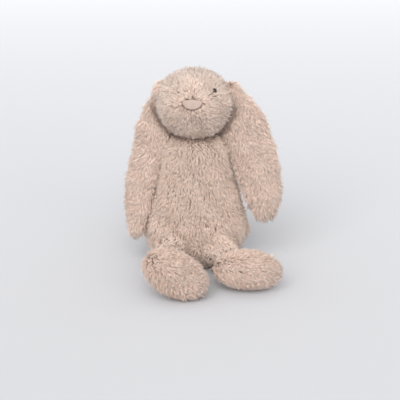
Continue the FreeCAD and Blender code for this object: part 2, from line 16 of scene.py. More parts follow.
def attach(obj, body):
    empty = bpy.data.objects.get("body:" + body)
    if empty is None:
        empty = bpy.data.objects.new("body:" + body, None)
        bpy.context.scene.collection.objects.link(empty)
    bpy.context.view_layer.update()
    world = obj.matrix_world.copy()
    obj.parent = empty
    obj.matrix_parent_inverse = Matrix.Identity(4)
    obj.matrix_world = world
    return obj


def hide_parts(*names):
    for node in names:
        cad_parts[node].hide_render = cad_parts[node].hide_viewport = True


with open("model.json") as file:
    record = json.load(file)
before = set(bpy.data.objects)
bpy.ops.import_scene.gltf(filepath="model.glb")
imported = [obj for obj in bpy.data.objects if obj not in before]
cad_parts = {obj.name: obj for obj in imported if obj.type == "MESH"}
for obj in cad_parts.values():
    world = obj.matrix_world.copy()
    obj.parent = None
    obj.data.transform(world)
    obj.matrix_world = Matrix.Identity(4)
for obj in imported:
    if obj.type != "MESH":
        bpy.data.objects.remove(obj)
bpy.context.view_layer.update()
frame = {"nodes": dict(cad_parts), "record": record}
scene = bpy.context.scene
MM = 0.001


def mm(x, y, z):
    return Vector((x, y, z)) * MM


def linear(red, green, blue):
    """A colour as paint charts give it, 0 to 255, as the light it reflects."""
    parts = []
    for part in (red, green, blue):
        part /= 255
        parts.append(part / 12.92 if part <= 0.04045 else ((part + 0.055) / 1.055) ** 2.4)
    return (*parts, 1.0)


# Where the sewn parts sit, in millimetres -------------------------------------------------------------

NECK = Vector((0, 0, 121))
HEAD = Vector((0, -4, 178))
HEAD_RADII = Vector((37.5, 37.0, 36.0))
FACE_TURN = -6.0  # degrees, of the face to one side
FACE_TILT = 18.0  # degrees, of the face upwards
FOOT_REACH = 11  # from the ankle to the middle of the foot, along the toes
FOOT_FORWARD = 15  # the same, towards the front
ARMS_BACK = 19  # degrees, how far behind the sides the arms hang
SHOULDER_OUT = 31
SHOULDER_HEIGHT = 110
# The part's arm leans out by ARM_SPREAD, which sets how high the hand is. HAND_OUT is 3 mm more than it gives.
ARM_LENGTH = 84
ARM_SPREAD = 17
HAND_OUT = 51
EAR_OUT = 36.5
EAR_HEIGHT = 192
EAR_WIDTH = 46
# ear_reach points down the hanging ear, ear_slim narrows what shows of it, and eye_rise lifts the eye out of
# the pile, or sinks it.
SIDES = {
    "left": {
        "sign": 1,
        "hip": Vector((24, -43, 25)),
        "ankle": Vector((42.5, -82, 24)),
        "tilt": 6.0,
        "roll": 38.0,
        "ear_length": 143.0,
        "ear_reach": Vector((0.25, -0.17, -0.95)),
        "ear_turn": 8.0,
        "ear_slim": 1.0,
        "eye_rise": -1.6,
    },
    "right": {
        "sign": -1,
        "hip": Vector((-24, -43, 25)),
        "ankle": Vector((-30.5, -105, 33)),
        "tilt": 30.0,
        "roll": 0.0,
        "ear_length": 164.0,
        "ear_reach": Vector((-0.165, -0.17, -0.96)),
        "ear_turn": 45.0,
        "ear_slim": 0.82,
        "eye_rise": -0.8,
    },
}
for side in SIDES.values():
    tilt = math.radians(side["tilt"])
    toes = Vector((math.cos(tilt), 0, -math.sin(tilt)))
    rolled = Matrix.Rotation(math.radians(side["roll"]), 4, toes)
    side["toes"] = toes
    side["foot"] = side["ankle"] + toes * FOOT_REACH - Vector((0, FOOT_FORWARD, 0))
    side["foot_turn"] = rolled @ Matrix.Rotation(tilt, 4, "Y")
    behind = math.radians(ARMS_BACK)
    out = Vector((side["sign"] * math.cos(behind), math.sin(behind), 0))
    drop = math.sqrt(ARM_LENGTH**2 - ARM_SPREAD**2)
    side["shoulder"] = out * SHOULDER_OUT + Vector((0, 0, SHOULDER_HEIGHT))
    side["hand"] = out * HAND_OUT + Vector((0, 0, SHOULDER_HEIGHT - drop))
    side["ear_root"] = Vector((side["sign"] * EAR_OUT, -1, EAR_HEIGHT))


def face_point(azimuth, elevation, rise=0.0):
    """A point of the head's surface, or over it, in a direction of the tilted and turned face."""
    a, e = math.radians(azimuth), math.radians(elevation)
    way = Vector((math.sin(a) * math.cos(e), -math.cos(a) * math.cos(e), math.sin(e)))
    way = Euler((math.radians(-FACE_TILT), 0, math.radians(FACE_TURN))).to_matrix() @ way
    reach = 1 / math.sqrt(sum((way[i] / HEAD_RADII[i]) ** 2 for i in range(3)))
    return HEAD + way * (reach + rise), way


NOSE, NOSE_WAY = face_point(0, -3)

# Materials --------------------------------------------------------------------------------------------


class Knob:
    """A node's output, so that shader maths reads as ordinary sums."""

    def __init__(self, tree, socket):
        self.tree = tree
        self.socket = socket

    def _with(self, operation, other, swap=False):
        first, second = (other, self) if swap else (self, other)
        return self.tree.make("ShaderNodeMath", {"operation": operation}, {0: first, 1: second})

    def __add__(self, other):
        return self._with("ADD", other)

    __radd__ = __add__

    def __sub__(self, other):
        return self._with("SUBTRACT", other)

    def __rsub__(self, other):
        return self._with("SUBTRACT", other, True)

    def __mul__(self, other):
        return self._with("MULTIPLY", other)

    __rmul__ = __mul__


class Finish:
    """One material and the few ways its nodes are made."""

    def __init__(self, name):
        self.material = bpy.data.materials.new(name)
        self.material.use_nodes = True
        self.nodes = self.material.node_tree.nodes
        self.links = self.material.node_tree.links
        self.shader = self.nodes["Principled BSDF"]

    def make(self, kind, settings=None, values=None, output=0):
        node = self.nodes.new(kind)
        for key, value in (settings or {}).items():
            if key == "stops":
                ramp = node.color_ramp
                while len(ramp.elements) < len(value):
                    ramp.elements.new(0.5)
                for stop, (place, colour) in zip(ramp.elements, value):
                    stop.position = place
                    stop.color = colour
            else:
                setattr(node, key, value)
        for key, value in (values or {}).items():
            self.feed(node.inputs[key], value)
        return Knob(self, node.outputs[output])

    def feed(self, socket, value):
        if isinstance(value, Knob):
            self.links.new(value.socket, socket)
        else:
            socket.default_value = value

    def set(self, **values):
        for key, value in values.items():
            self.feed(self.shader.inputs[key.replace("_", " ")], value)
        return self

    def place(self):
        return self.make("ShaderNodeTexCoord", output="Object")

    def noise(self, size, detail=3.0):
        """Noise whose features are about size metres."""
        values = {"Vector": self.place(), "Scale": 1 / size, "Detail": detail}
        return self.make("ShaderNodeTexNoise", {}, values)

    def mix(self, factor, low, high):
        return self.make("ShaderNodeMix", {"data_type": "RGBA"}, {0: factor, 6: low, 7: high}, output=2)

    def bump(self, height, strength, depth):
        values = {"Strength": strength, "Distance": depth, "Height": height}
        return self.set(Normal=self.make("ShaderNodeBump", {}, values))


def cloth_finish(name, low, high, rough=0.95):
    """Plain cloth: mottled colour and a fine grain."""
    finish = Finish(name)
    mottle = finish.noise(0.02)
    fine = finish.noise(0.001, 2.0)
    finish.set(Base_Color=finish.mix(mottle * 0.7 + fine * 0.3, low, high), Roughness=rough)
    finish.set(Sheen_Weight=0.3)
    return finish.bump(fine, 0.5, 0.0004)


# From the darkest tufts, reached only in the painted shade of the creases, to the lightest
TINTS_AND_SHADE = (
    (0.0, (0.30, 0.22, 0.18, 1)),
    (0.2, (0.83, 0.795, 0.765, 1)),
    (0.5, (0.95, 0.935, 0.925, 1)),
    (1.0, (1.0, 1.0, 1.0, 1)),
)


def pile_finish(name, deep_shade, root, body, tip):
    """Plush pile. The map runs from root to tip up each tuft, and across over the tints and painted shade of
    the tufts.
    """
    finish = Finish(name)
    where = finish.make("ShaderNodeUVMap", {"uv_map": "OFBake"})
    parts = finish.make("ShaderNodeSeparateXYZ", {}, {0: where})
    up = Knob(finish, parts.socket.node.outputs[1])
    # Painted shade: each tuft darkens towards its root, as though shaded inside the pile.
    shaded_strand = [(0.0, deep_shade), (0.3, root), (0.62, body), (1.0, tip)]
    along = finish.make("ShaderNodeValToRGB", {"stops": shaded_strand}, {0: up})
    tint_and_shade = finish.make("ShaderNodeValToRGB", {"stops": TINTS_AND_SHADE}, {0: parts})
    settings = {"data_type": "RGBA", "blend_type": "MULTIPLY"}
    colour = finish.make("ShaderNodeMix", settings, {0: 1.0, 6: along, 7: tint_and_shade}, output=2)
    return finish.set(Base_Color=colour, Roughness=0.85, Sheen_Weight=0.35, Sheen_Roughness=0.5)


# The backing cloth is painted dark: painted shade that shows through the gaps in the pile.
SHADED_BACKING = cloth_finish("plush_backing_shaded", linear(160, 128, 112), linear(182, 150, 133)).material
COAT = pile_finish(
    "body_pile", linear(206, 173, 154), linear(233, 205, 187), linear(247, 224, 208), linear(253, 240, 229)
).material
# The feet's pile is the body's painted darker: painted shade on the feet.
SHADED_FOOT_COAT = pile_finish(
    "foot_pile_shaded", linear(172, 139, 121), linear(208, 177, 159), linear(232, 206, 190), linear(244, 226, 213)
).material
EAR_COAT = pile_finish(
    "ear_pile", linear(190, 155, 137), linear(224, 193, 175), linear(246, 221, 205), linear(255, 242, 232)
).material

# Soft forms -------------------------------------------------------------------------------------------


def add_ball(form, centre, radii, turn=None):
    """An ellipsoid of cloth, turned if asked."""
    spot = Matrix.Translation(centre * MM) @ (turn or Matrix())
    grow = Matrix.Diagonal((radii[0] * MM, radii[1] * MM, radii[2] * MM, 1))
    bmesh.ops.create_uvsphere(form, u_segments=32, v_segments=20, radius=1, matrix=spot @ grow)


def add_taper(form, start, end, low, high):
    """A round tapered shaft from start to end."""
    way = (end - start) * MM
    turn = way.to_track_quat("Z", "Y").to_matrix().to_4x4()
    spot = Matrix.Translation((start + end) / 2 * MM) @ turn
    bmesh.ops.create_cone(
        form, cap_ends=True, segments=32, radius1=low * MM, radius2=high * MM, depth=way.length, matrix=spot
    )


def as_object(name, form):
    mesh = bpy.data.meshes.new(name)
    form.to_mesh(mesh)
    form.free()
    thing = bpy.data.objects.new(name, mesh)
    scene.collection.objects.link(thing)
    return thing


def settle(thing):
    """Replaces a mesh and its modifiers with what they make."""
    graph = bpy.context.evaluated_depsgraph_get()
    made = bpy.data.meshes.new_from_object(thing.evaluated_get(graph))
    thing.modifiers.clear()
    thing.data = made
    return thing


def points_of(mesh):
    spots = np.empty(len(mesh.vertices) * 3, np.float32)
    mesh.vertices.foreach_get("co", spots)
    return spots.reshape(-1, 3).astype(float)


def knit(name, form, voxel=3.5):
    """A closed form made one even skin."""
    thing = as_object(name, form)
    remesh = thing.modifiers.new("knit", "REMESH")
    remesh.mode = "VOXEL"
    remesh.voxel_size = voxel * MM
    settle(thing)
    smooth = thing.modifiers.new("smooth", "SMOOTH")
    smooth.factor = 0.5
    smooth.iterations = 4
    return settle(thing)


forms = {}


def arc(centre, radii, start, sweep, steps):
    """Points along part of an ellipse, with its angles in degrees."""
    spots = []
    for step in range(steps + 1):
        angle = math.radians(start + sweep * step / steps)
        spots.append((centre[0] + radii[0] * math.cos(angle), centre[1] + radii[1] * math.sin(angle)))
    return spots


SEAT = 2.0  # height of the cloth's underside


def torso_form():
    """A pear: a round belly on a flat seat, and a dome for the chest."""
    form = bmesh.new()
    outline = [(0, SEAT)]
    outline += arc((-5, 38), (57.5, 55), -40, 57, 14)
    outline += arc((0, 120), (34, 28), 17, 73, 8)
    corners = [form.verts.new(mm(max(r, 0.0), 0, max(z, SEAT))) for r, z in outline]
    edges = [form.edges.new(pair) for pair in zip(corners, corners[1:])]
    bmesh.ops.spin(form, geom=corners + edges, axis=(0, 0, 1), angle=math.tau, steps=48, use_merge=True)
    bmesh.ops.remove_doubles(form, verts=form.verts[:], dist=1e-5)
    bmesh.ops.recalc_face_normals(form, faces=form.faces[:])
    bmesh.ops.translate(form, verts=form.verts[:], vec=mm(-1.0, 0, 0))
    return form


forms["torso"] = knit("torso_cloth", torso_form(), 4.5)
form = bmesh.new()
add_ball(form, HEAD + Vector((-1.8, 0, 0.2)), (37.2, 34.8, 34.2))
add_ball(form, HEAD + NOSE_WAY * 20, (15.5, 15.5, 14))
forms["head"] = knit("head_cloth", form)
form = bmesh.new()
add_ball(form, Vector((0, 57, 30)), (10.5, 10.5, 10.5))
forms["tail"] = knit("tail_cloth", form, 2.5)
for label, side in SIDES.items():
    form = bmesh.new()
    add_ball(form, side["shoulder"], (6, 6, 6))
    add_ball(form, side["hand"], (10, 10, 10.5))
    add_taper(form, side["shoulder"], side["hand"], 5.5, 9.6)
    forms[f"arm_{label}"] = knit(f"arm_{label}_cloth", form, 2.6)
    form = bmesh.new()
    add_ball(form, side["hip"], (16, 16, 16))
    add_ball(form, side["ankle"], (9.5, 9.5, 9.5))
    add_taper(form, side["hip"], side["ankle"], 12, 8)
    forms[f"leg_{label}"] = knit(f"leg_{label}_cloth", form, 2.8)
    form = bmesh.new()
    add_ball(form, side["foot"], (32.5, 15.5, 19.5), side["foot_turn"])
    forms[f"foot_{label}"] = knit(f"foot_{label}_cloth", form, 2.8)

# Ears: along, as a share of the length, then the middle and half of the width, as shares of EAR_WIDTH
BLADE = ((-0.05, 0.03, 0.03), (0.0, 0.04, 0.1), (0.1, 0.09, 0.22), (0.26, 0.17, 0.37), (0.49, 0.21, 0.47))
BLADE += ((0.67, 0.19, 0.47), (0.84, 0.17, 0.37), (0.93, 0.16, 0.26), (0.98, 0.15, 0.14), (1.0, 0.15, 0.05))


def ear_frame(side):
    """Axes of the ear: across its width, out of its front, and down its length."""
    down = side["ear_reach"].normalized()
    turn = math.radians(side["ear_turn"])
    wide = Vector((side["sign"] * math.cos(turn), math.sin(turn), 0))
    wide = (wide - down * wide.dot(down)).normalized()
    front = down.cross(wide)
    return wide, front if front.y < 0 else -front, down


def ear_form(side):
    """A soft blade with a pleat at its root and edges that curl back."""
    wide, front, down = ear_frame(side)
    form = bmesh.new()
    bmesh.ops.create_grid(form, x_segments=18, y_segments=44, size=1)
    table = np.array(BLADE)
    for corner in form.verts:
        u, v = corner.co.x, (corner.co.y + 1) / 2
        along = -0.04 + 1.035 * v
        middle = np.interp(along, table[:, 0], table[:, 1]) * EAR_WIDTH
        bulge = 3 * math.sin(min(1.0, max(0.0, along * 2.2)) * math.pi)
        half = np.interp(along, table[:, 0], table[:, 2]) * EAR_WIDTH - 0.6 + bulge
        middle += (1 - side["ear_slim"]) * half
        half *= side["ear_slim"]
        pleat = max(0.0, 1 - along / 0.42) ** 0.8
        depth = -2.6 * u * u - 5.0 * pleat * math.exp(-(((u + 0.12) / 0.22) ** 2)) + 3.0 * pleat
        depth += 1.2 * math.sin(along * 9 + 2 * u) * along
        # the inner edge rolls back, most of all in the upper half
        rolled = math.sin(math.pi * min(1.0, max(0.0, (along - 0.02) / 0.62)))
        inner = max(0.0, -u - 0.35) / 0.65 * rolled
        depth -= 9 * inner**1.5
        middle -= 4.5 * inner
        spot = side["ear_root"] + down * along * side["ear_length"]
        corner.co = (spot + wide * (middle + u * half) + front * depth) * MM
    bmesh.ops.recalc_face_normals(form, faces=form.faces[:])
    bmesh.ops.solidify(form, geom=form.faces[:], thickness=4.4 * MM)
    spots = [v.co for v in form.verts]
    middle = sum(spots, Vector()) / len(spots)
    want = (side["ear_root"] + down * 0.5 * side["ear_length"] + wide * 9 - front * 3) * MM
    shift = front * (want - middle).dot(front)
    for corner in form.verts:
        corner.co += shift
    bmesh.ops.recalc_face_normals(form, faces=form.faces[:])
    return form


for label, side in SIDES.items():
    forms[f"ear_{label}"] = knit(f"ear_{label}_cloth", ear_form(side), 2.5)


for label, side in SIDES.items():
    form = bmesh.new()
    add_ball(form, side["ear_root"] + Vector((side["sign"] * -3.5, 0, -2)), (7, 8, 7))
    add_ball(form, side["ear_root"] + Vector((side["sign"] * 1.0, 0, -3)), (6.5, 6, 7))
    forms[f"ear_root_{label}"] = knit(f"ear_{label}_root_cloth", form, 2.2)


def inflate(things, frames=20, cap=3.0):
    """Fills the cloth forms with pressure all together, and caps how far each point moves."""
    starts = {}
    for thing in things:
        starts[thing.name] = points_of(thing.data)
        cloth = thing.modifiers.new("stuffing", "CLOTH")
        settings = cloth.settings
        settings.mass = 0.02
        settings.use_pressure = True
        settings.uniform_pressure_force = 4.0
        settings.tension_stiffness = 10
        settings.compression_stiffness = 10
        settings.shear_stiffness = 5
        settings.bending_stiffness = 0.2
        settings.effector_weights.gravity = 0
        settings.quality = 5
        cloth.point_cache.frame_start = 1
        cloth.point_cache.frame_end = frames
    for moment in range(1, frames + 1):
        scene.frame_set(moment)
    for thing in things:
        settle(thing)
        start = starts[thing.name]
        end = points_of(thing.data)
        step = end - start
        reach = np.linalg.norm(step, axis=1)
        limit = cap * MM
        scale = np.where(reach > 1e-9, limit * np.tanh(reach / limit) / np.maximum(reach, 1e-9), 0)
        end = start + step * scale[:, None]
        thing.data.vertices.foreach_set("co", end.astype(np.float32).ravel())
        thing.data.update()
    scene.frame_set(1)


inflate([thing for name, thing in forms.items() if not name.startswith("ear")])
inflate([thing for name, thing in forms.items() if name.startswith("ear")], 14, 1.2)
for thing in forms.values():
    finer = thing.modifiers.new("round", "SUBSURF")
    finer.levels = finer.render_levels = 1
    settle(thing)
    thing.data.polygons.foreach_set("use_smooth", [True] * len(thing.data.polygons))
    thing.data.materials.clear()
    thing.data.materials.append(SHADED_BACKING)

# Pile -------------------------------------------------------------------------------------------------


def drift(spots, size, seed):
    """Smooth vector noise with features of about size metres."""
    chance = np.random.default_rng(seed)
    total = np.zeros((len(spots), 3))
    for _ in range(7):
        way = chance.normal(size=3)
        way *= math.tau / size / np.linalg.norm(way) * chance.uniform(0.6, 1.5)
        total += np.sin(spots @ way + chance.uniform(0, math.tau))[:, None] * chance.normal(size=3)
    return total / 3.0


def unit(rows):
    return rows / np.maximum(np.linalg.norm(rows, axis=1), 1e-9)[:, None]


def tuft_mesh(count):
    """One tuft, a curved blade of three sides, repeated."""
    form = bmesh.new()
    bmesh.ops.create_cone(form, cap_ends=True, segments=3, radius1=1, radius2=0, depth=1)
    bmesh.ops.translate(form, verts=form.verts[:], vec=(0, 0, 0.5))
    bmesh.ops.remove_doubles(form, verts=form.verts[:], dist=1e-4)
    everything = form.verts[:] + form.edges[:] + form.faces[:]
    bmesh.ops.bisect_plane(form, geom=everything, plane_co=(0, 0, 0.5), plane_no=(0, 0, 1))
    bmesh.ops.triangulate(form, faces=form.faces[:])
    thing = as_object("tuft", form)
    pattern = points_of(thing.data)
    repeat = thing.modifiers.new("repeat", "ARRAY")
    repeat.count = count
    repeat.use_relative_offset = False
    repeat.use_constant_offset = True
    repeat.constant_offset_displace = (0, 0, 0)
    settle(thing)
    mesh = thing.data
    bpy.data.objects.remove(thing)
    return mesh, pattern


def roots_on(mesh, count, seed, keep=None):
    """Evenly spread points of a mesh and their normals."""
    mesh.calc_loop_triangles()
    corners = np.empty(len(mesh.loop_triangles) * 3, np.int32)
    mesh.loop_triangles.foreach_get("vertices", corners)
    corners = corners.reshape(-1, 3)
    spots = points_of(mesh)
    normals = np.empty(len(mesh.vertices) * 3, np.float32)
    mesh.vertices.foreach_get("normal", normals)
    normals = normals.reshape(-1, 3).astype(float)
    a, b, c = (spots[corners[:, i]] for i in range(3))
    weight = np.linalg.norm(np.cross(b - a, c - a), axis=1)
    if keep is not None:
        weight = weight * keep((a + b + c) / 3, unit(np.cross(b - a, c - a)))
    chance = np.random.default_rng(seed)
    ladder = np.cumsum(weight)
    picks = np.searchsorted(ladder, (np.arange(count) + chance.uniform(0, 1, count)) / count * ladder[-1])
    picks = np.minimum(picks, len(weight) - 1)
    r, s = np.sqrt(chance.uniform(0, 1, count)), chance.uniform(0, 1, count)
    shares = np.stack([1 - r, r * (1 - s), r * s], 1)
    rows = corners[picks]
    return (spots[rows] * shares[:, :, None]).sum(1), unit((normals[rows] * shares[:, :, None]).sum(1))


# Seeds that every piece of pile shares, so that a swirl runs on over a seam
SWIRL_SEED, LENGTH_SEED, STAND_SEED, TINT_SEED = 5, 7, 9, 13
STRAY_SHARE = 0.1  # of the tufts are longer and stand up more
STRAY_LENGTH = 1.3
STRAY_LIFT = 0.4
SCATTER = 0.26  # how far each tuft's direction strays
FLOOR_GAP = 0.0005  # metres between the floor and the lines of the tufts
SKIN_GAP = 0.0002  # metres between the floor and their sides


def grow_pile(name, base, count, comb, length, width, coat, seed, curl=0.4, curl_size=0.02, clump=0.6,
              lift=0.5, clump_size=14, keep=None, crease=None):
    """Tufts over a cloth form.

    comb gives each root's direction, and curl how much that swirls, over curl_size metres. lift is how much
    the tufts stand up, and clump how far each group of about clump_size of them leans together. keep gives
    the share of tufts that a spot holds, and the last argument how much painted shade darkens the tufts there.
    """
    chance = np.random.default_rng(seed)
    roots, normals = roots_on(base.data, count, seed, keep)
    flow = comb(roots, normals) + drift(roots, curl_size, SWIRL_SEED) * curl
    flow = unit(flow - (flow * normals).sum(1)[:, None] * normals)
    wave = 1 + 0.12 * drift(roots, 0.03, LENGTH_SEED)[:, 0]
    tall = length * MM * chance.uniform(0.75, 1.15, count) * wave
    stand = lift * (1 + 0.35 * drift(roots, curl_size * 0.8, STAND_SEED)[:, 1])
    stray = chance.uniform(0, 1, count) < STRAY_SHARE
    tall = np.where(stray, tall * STRAY_LENGTH, tall)
    stand = np.where(stray, stand + STRAY_LIFT, stand)
    way = unit(flow + normals * stand[:, None] + chance.normal(0, SCATTER, (count, 3)))
    tips = roots + way * tall[:, None]
    leaders = chance.choice(count, max(8, count // clump_size), replace=False)
    tree = kdtree.KDTree(len(leaders))
    for order, index in enumerate(leaders):
        tree.insert(roots[index], order)
    tree.balance()
    team = np.array([tree.find(spot)[1] for spot in roots])
    boss = leaders[team]
    pull = clump * chance.uniform(0.5, 1.0, count)
    tips += (tips[boss] - tips) * pull[:, None]
    bend = roots + normals * (tall * 0.42)[:, None] + (tips - roots) * 0.3
    bend += (bend[boss] - bend) * (pull * 0.35)[:, None]
    for line in (tips, bend, roots):
        line[:, 2] = np.maximum(line[:, 2], FLOOR_GAP)
    mesh, pattern = tuft_mesh(count)
    rise = pattern[:, 2]
    turn = np.arctan2(pattern[:, 1], pattern[:, 0])
    girth = np.interp(rise, (0, 0.5, 1), (0.9, 1, 0)) * width * MM / 2
    forward = unit(tips - roots)
    across = unit(np.cross(forward, normals + 1e-3))
    above = np.cross(across, forward)
    thick = chance.uniform(0.8, 1.25, count)
    spots = np.empty((count, len(pattern), 3), np.float32)
    for k, (s, angle, wide) in enumerate(zip(rise, turn, girth)):
        line = roots * (1 - s) ** 2 + bend * (2 * s * (1 - s)) + tips * s**2
        ring = across * math.cos(angle) + above * math.sin(angle) * 0.6
        spots[:, k] = line + ring * (wide * thick)[:, None]
    spots[:, :, 2] = np.maximum(spots[:, :, 2], SKIN_GAP)
    mesh.vertices.foreach_set("co", spots.ravel())
    tint_and_shade = 0.5 + 0.2 * drift(roots, 0.035, TINT_SEED)[:, 0] + 0.13 * chance.normal(size=len(leaders))[team]
    tint_and_shade = np.clip(tint_and_shade + 0.15 * chance.normal(size=count), 0.2, 0.97)
    # Painted shade: tufts are darkened around the head and under the chin.
    if crease is not None:
        tint_and_shade = np.clip(tint_and_shade * (1 - crease(roots)), 0.02, 0.97)
    across_map = tint_and_shade[:, None] + (np.cos(turn) * 0.012)[None, :]
    up_map = np.broadcast_to(0.02 + 0.96 * rise, across_map.shape)
    flat = np.stack([across_map, up_map], 2).reshape(-1, 2)
    corners = np.empty(len(mesh.loops), np.int32)
    mesh.loops.foreach_get("vertex_index", corners)
    layer = mesh.uv_layers.new(name="OFBake")
    layer.data.foreach_set("uv", flat[corners].astype(np.float32).ravel())
    mesh.polygons.foreach_set("use_smooth", [True] * len(mesh.polygons))
    mesh.materials.clear()
    mesh.materials.append(coat)
    mesh.update()
    thing = bpy.data.objects.new(name, mesh)
    scene.collection.objects.link(thing)
    return thing


def combed(way):
    """A comb that lays every tuft one way."""

    def comb(spots, normals):
        return np.tile(np.array(way), (len(spots), 1))

    return comb


def outwards(spots, normals):
    return normals


def from_nose(spots, normals):
    """Away from the nose and towards the back of the head, with small swirls."""
    return unit(spots - np.array(NOSE * MM)) + np.array((0, 0.35, 0)) + drift(spots, 0.012, 31) * 0.3


def distance_from(point, spots):
    """How many millimetres each spot is from a point."""
    return np.linalg.norm(spots / MM - np.array(point), axis=1)


EYES = {label: face_point(side["sign"] * 40, 19, 0.5) for label, side in SIDES.items()}
EYE_BARE = 1.0  # no tuft grows this near an eye
EYE_FADE = 1.5  # and from there the pile thickens over this much
NECK_THIN = 31.5  # the pile is thin this near the neck, inside the seam


def nose_axes():
    """The nose's sideways and upward directions."""
    across = Vector((0, 0, 1)).cross(NOSE_WAY) * -1
    across = across.normalized()
    if across.x < 0:
        across = -across
    up = NOSE_WAY.cross(across)
    up = up if up.z > 0 else -up
    return across, up


def clear_of_eyes(spots):
    """The share of tufts that grows, which fades to none at the eyes."""
    share = np.ones(len(spots))
    for place, _ in EYES.values():
        away = np.linalg.norm(spots - np.array(place * MM), axis=1) / MM
        share *= np.clip((away - EYE_BARE) / EYE_FADE, 0, 1)
    return share


def clear_of_face(spots):
    """The same for the whole head: none under the nose pad, few inside the neck seam."""
    across, up = nose_axes()
    off = spots / MM - np.array(NOSE)
    x, y = off @ np.array(across), off @ np.array(up)
    inside = (x / 9.4) ** 2 + ((y + 2.3) / 4.7) ** 2
    near = off @ np.array(NOSE_WAY) > -12
    share = np.where(near & (inside < 1), 0.0, 1.0) * clear_of_eyes(spots)
    return share * np.where(distance_from(NECK, spots) < NECK_THIN, 0.25, 1.0)


def cover(name, form_name, body, *args, **settings):
    """Pile on one of the cloth forms, which rides with that form."""
    pile = grow_pile(name, forms[form_name], *args, **settings)
    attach(pile, body)
    return pile


def head_crease_shade(spots):
    """How much painted shade darkens a spot in the creases around the head, 0 to 1."""
    away = (spots / MM - np.array(HEAD)) / (np.array(HEAD_RADII) + 6)
    below = np.clip((HEAD.z + 12 - spots[:, 2] / MM) / 14, 0, 1)
    return np.clip((1.12 - np.linalg.norm(away, axis=1)) / 0.14, 0, 1) * below * 0.9


def chin_shade_and_head_tone(spots):
    """Painted shade on the underside of the head, above the neck, and the whole head's coat a little darker.
    """
    return 0.3 + 0.55 * np.clip((38 - distance_from(NECK, spots)) / 8, 0, 1)


def part_of_torso(front, sign=0):
    """The front or the back of the torso, and with a sign one half of it: few tufts below and at the neck."""

    def keep(spots, normals):
        share = np.where(spots[:, 2] < 0.006, 0.35, 1.0)
        share = np.where((spots[:, 2] > 0.121) & (normals[:, 2] > 0.85), 0.1, share)
        share = share * np.where((spots[:, 1] < 0.014) == front, 1.0, 0.0)
        return share * np.where(sign * spots[:, 0] >= 0, 1.0, 0.0)

    return keep


def torso_curl(spots, normals):
    """Down the chest, swirling more and more towards the lap."""
    low = np.clip((0.085 - spots[:, 2]) / 0.05, 0, 1)[:, None]
    return np.array((0.0, 0.0, -1.0)) + drift(spots, 0.018, 77) * (0.22 + 0.55 * low)


def part_of_head(which):
    """One of the three sewn panels of the head."""

    def keep(spots, normals):
        off = spots / MM - np.array(HEAD)
        turn = math.radians(FACE_TURN)
        x = off[:, 0] * math.cos(turn) + off[:, 1] * math.sin(turn)
        top = (np.abs(x) < 13) & (off[:, 2] > 4)
        chosen = {"top": top, "left": ~top & (x >= 0), "right": ~top & (x < 0)}[which]
        return clear_of_face(spots) * chosen

    return keep


def layer_of_ear(front, sign):
    """The front or the back layer of an ear, by the way its cloth faces."""

    def keep(spots, normals):
        return np.where(sign * (normals @ np.array(front)) >= 0, 1.0, 0.0)

    return keep


def ear_comb_of(side):
    """Down the ear and outwards towards its edge."""
    wide, _, down = ear_frame(side)

    def comb(spots, normals):
        off = spots / MM - np.array(side["ear_root"])
        outer = np.clip((off @ np.array(wide) - 4) / 22, -0.4, 1)[:, None]
        return np.array(down)[None, :] + np.array(wide)[None, :] * outer * 0.55

    return comb


for which, sign, seed in (("left", 1, 11), ("right", -1, 14)):
    cover(f"torso_front_{which}_pile", "torso", "torso", 14000, torso_curl, 8.0, 0.62, COAT, seed, curl=0.2,
          curl_size=0.010, lift=0.7, clump=0.26, clump_size=7, keep=part_of_torso(True, sign),
          crease=head_crease_shade)
cover("torso_back_pile", "torso", "torso", 13500, torso_curl, 8.8, 0.85, COAT, 12, curl=0.2,
      curl_size=0.010, lift=0.6, keep=part_of_torso(False), clump=0.22, clump_size=6, crease=head_crease_shade)
for which, count, seed in (("top", 6800, 21), ("left", 13800, 22), ("right", 13800, 23)):
    cover(f"head_{which}_pile", "head", "head", count, from_nose, 6.8, 0.66, COAT, seed, curl=0.4,
          curl_size=0.008, lift=0.95, clump=0.44, clump_size=8, keep=part_of_head(which), crease=chin_shade_and_head_tone)
for label, side in SIDES.items():
    seed = 40 if side["sign"] > 0 else 60
    _, front, _ = ear_frame(side)
    ear_comb = ear_comb_of(side)
    arm_comb = combed((side["hand"] - side["shoulder"]).normalized())
    leg_comb = combed((side["ankle"] - side["hip"]).normalized())
    foot_comb = combed(np.array(side["toes"]) + np.array((0, 0, -0.25)))
    for layer, sign, count in (("lining", 1, 14500), ("back", -1, 8000)):
        pile = cover(f"ear_{label}_{layer}_pile", f"ear_{label}", f"ear_{label}", count, ear_comb, 9.0, 0.7,
                     EAR_COAT, seed + 2 + sign, curl=0.1, curl_size=0.016, lift=0.62, clump=0.34,
                     clump_size=6, keep=layer_of_ear(front, sign), crease=head_crease_shade)
    cover(f"arm_{label}_pile", f"arm_{label}", f"arm_{label}", 4600, arm_comb, 7.6, 1.0, COAT, seed + 6,
          curl=0.4, lift=0.45, clump=0.35, clump_size=8)
    cover(f"leg_{label}_pile", f"leg_{label}", f"leg_{label}", 5000, leg_comb, 8.0, 1.0, COAT, seed + 7,
          curl=0.4, lift=0.5, clump=0.35, clump_size=8)
    cover(f"foot_{label}_pile", f"foot_{label}", f"foot_{label}", 12500, foot_comb, 8.0, 0.72, SHADED_FOOT_COAT,
          seed + 8, curl=0.35, curl_size=0.010, lift=0.6, clump=0.48, clump_size=8)
    cover(f"ear_{label}_root_pile", f"ear_root_{label}", f"ear_root_{label}", 1700, ear_comb, 6.5, 0.9,
          EAR_COAT, seed + 9, curl=0.6, lift=0.7, clump=0.3, clump_size=8)
cover("tail_pile", "tail", "torso", 3000, outwards, 9.0, 1.0, COAT, 90, curl=1.0, lift=1.4)

# Face -------------------------------------------------------------------------------------------------


